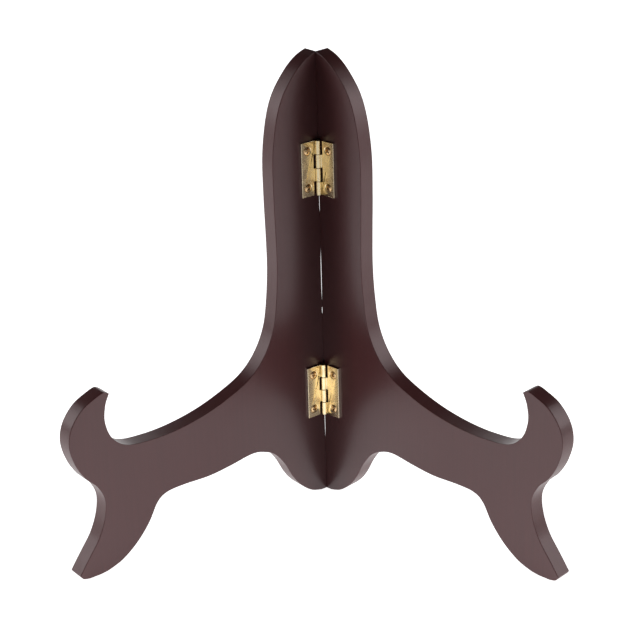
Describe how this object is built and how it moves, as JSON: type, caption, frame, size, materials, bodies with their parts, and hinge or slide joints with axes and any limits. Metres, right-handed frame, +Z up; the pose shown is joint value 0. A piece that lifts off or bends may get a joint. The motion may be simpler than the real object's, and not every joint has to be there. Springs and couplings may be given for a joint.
{
  "type": "folding plate stand",
  "caption": "Folding V-shaped wooden stand with hooked feet that holds a plate or picture upright, joined by small butt hinges.",
  "frame": {"origin": "on the surface the stand rests on, under the middle of its bounding box with the boards open", "axes": "+X to the right of someone facing the hooks' side, +Y to the back, where the fold is, +Z up along the hinge pins"},
  "size_m": [0.2158, 0.0938, 0.2115],
  "materials": {
    "lacquered_wood": "satin red-brown lacquer",
    "polished_brass": "polished, finely brushed",
    "brass_pin": "drawn brass wire, dull ends"
  },
  "bodies": {
    "left_board": {"left_panel": "lacquered_wood", "upper_hinge_left_leaf": "polished_brass", "upper_left_top_screw": "polished_brass", "upper_left_bottom_screw": "polished_brass", "upper_hinge_pin": "brass_pin", "lower_hinge_left_leaf": "polished_brass", "lower_left_top_screw": "polished_brass", "lower_left_bottom_screw": "polished_brass", "lower_hinge_pin": "brass_pin"},
    "right_board": {"right_panel": "lacquered_wood", "upper_hinge_right_leaf": "polished_brass", "upper_right_top_screw": "polished_brass", "upper_right_bottom_screw": "polished_brass", "lower_hinge_right_leaf": "polished_brass", "lower_right_top_screw": "polished_brass", "lower_right_bottom_screw": "polished_brass"}
  },
  "joints": [
    {"name": "fold", "type": "hinge", "parent": "left_board", "child": "right_board", "pos_m": [0, 0.03895, 0.10605], "axis": [0, 0, -1], "range_deg": [0, 99]}
  ]
}
